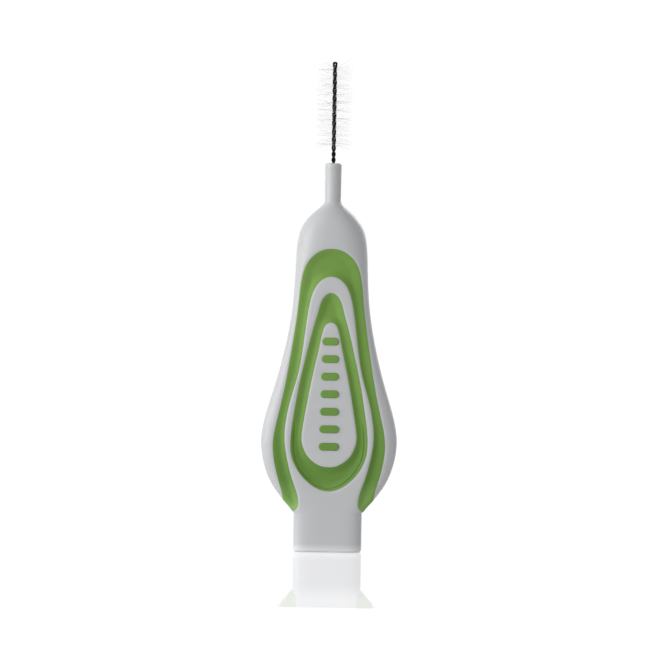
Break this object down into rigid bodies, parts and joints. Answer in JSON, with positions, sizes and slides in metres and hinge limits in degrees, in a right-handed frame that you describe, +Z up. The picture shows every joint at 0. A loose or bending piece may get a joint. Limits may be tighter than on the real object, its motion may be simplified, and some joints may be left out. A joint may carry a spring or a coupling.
{
  "type": "interdental brush",
  "caption": "Small hand brush for cleaning between teeth: flat drop-shaped handle with soft grip inlays, thin neck, and a twisted wire that holds fine bristles.",
  "frame": {"origin": "middle of the foot's base, the flat face that the brush stands on", "axes": "+Z up from the foot along the handle and the wire to the tip, +X to the right of the front face, +Y towards the back"},
  "size_m": [0.0194, 0.0069, 0.07],
  "materials": {
    "core_plastic": "satin moulded polypropylene",
    "soft_grip": "matte soft elastomer",
    "coated_wire": "dark plastic coating on stainless wire",
    "bristle_nylon": "clear drawn nylon"
  },
  "bodies": {
    "root": {"handle_core": "core_plastic", "outer_grip_band": "soft_grip", "front_grip_ring": "soft_grip", "back_grip_ring": "soft_grip", "grip_rib_1": "soft_grip", "grip_rib_2": "soft_grip", "grip_rib_3": "soft_grip", "grip_rib_4": "soft_grip", "grip_rib_5": "soft_grip", "grip_rib_6": "soft_grip", "grip_rib_7": "soft_grip", "twisted_wire": "coated_wire", "bristle_row_01": "bristle_nylon", "bristle_row_02": "bristle_nylon", "bristle_row_03": "bristle_nylon", "bristle_row_04": "bristle_nylon", "bristle_row_05": "bristle_nylon", "bristle_row_06": "bristle_nylon", "bristle_row_07": "bristle_nylon", "bristle_row_08": "bristle_nylon", "bristle_row_09": "bristle_nylon", "bristle_row_10": "bristle_nylon"}
  },
  "joints": []
}
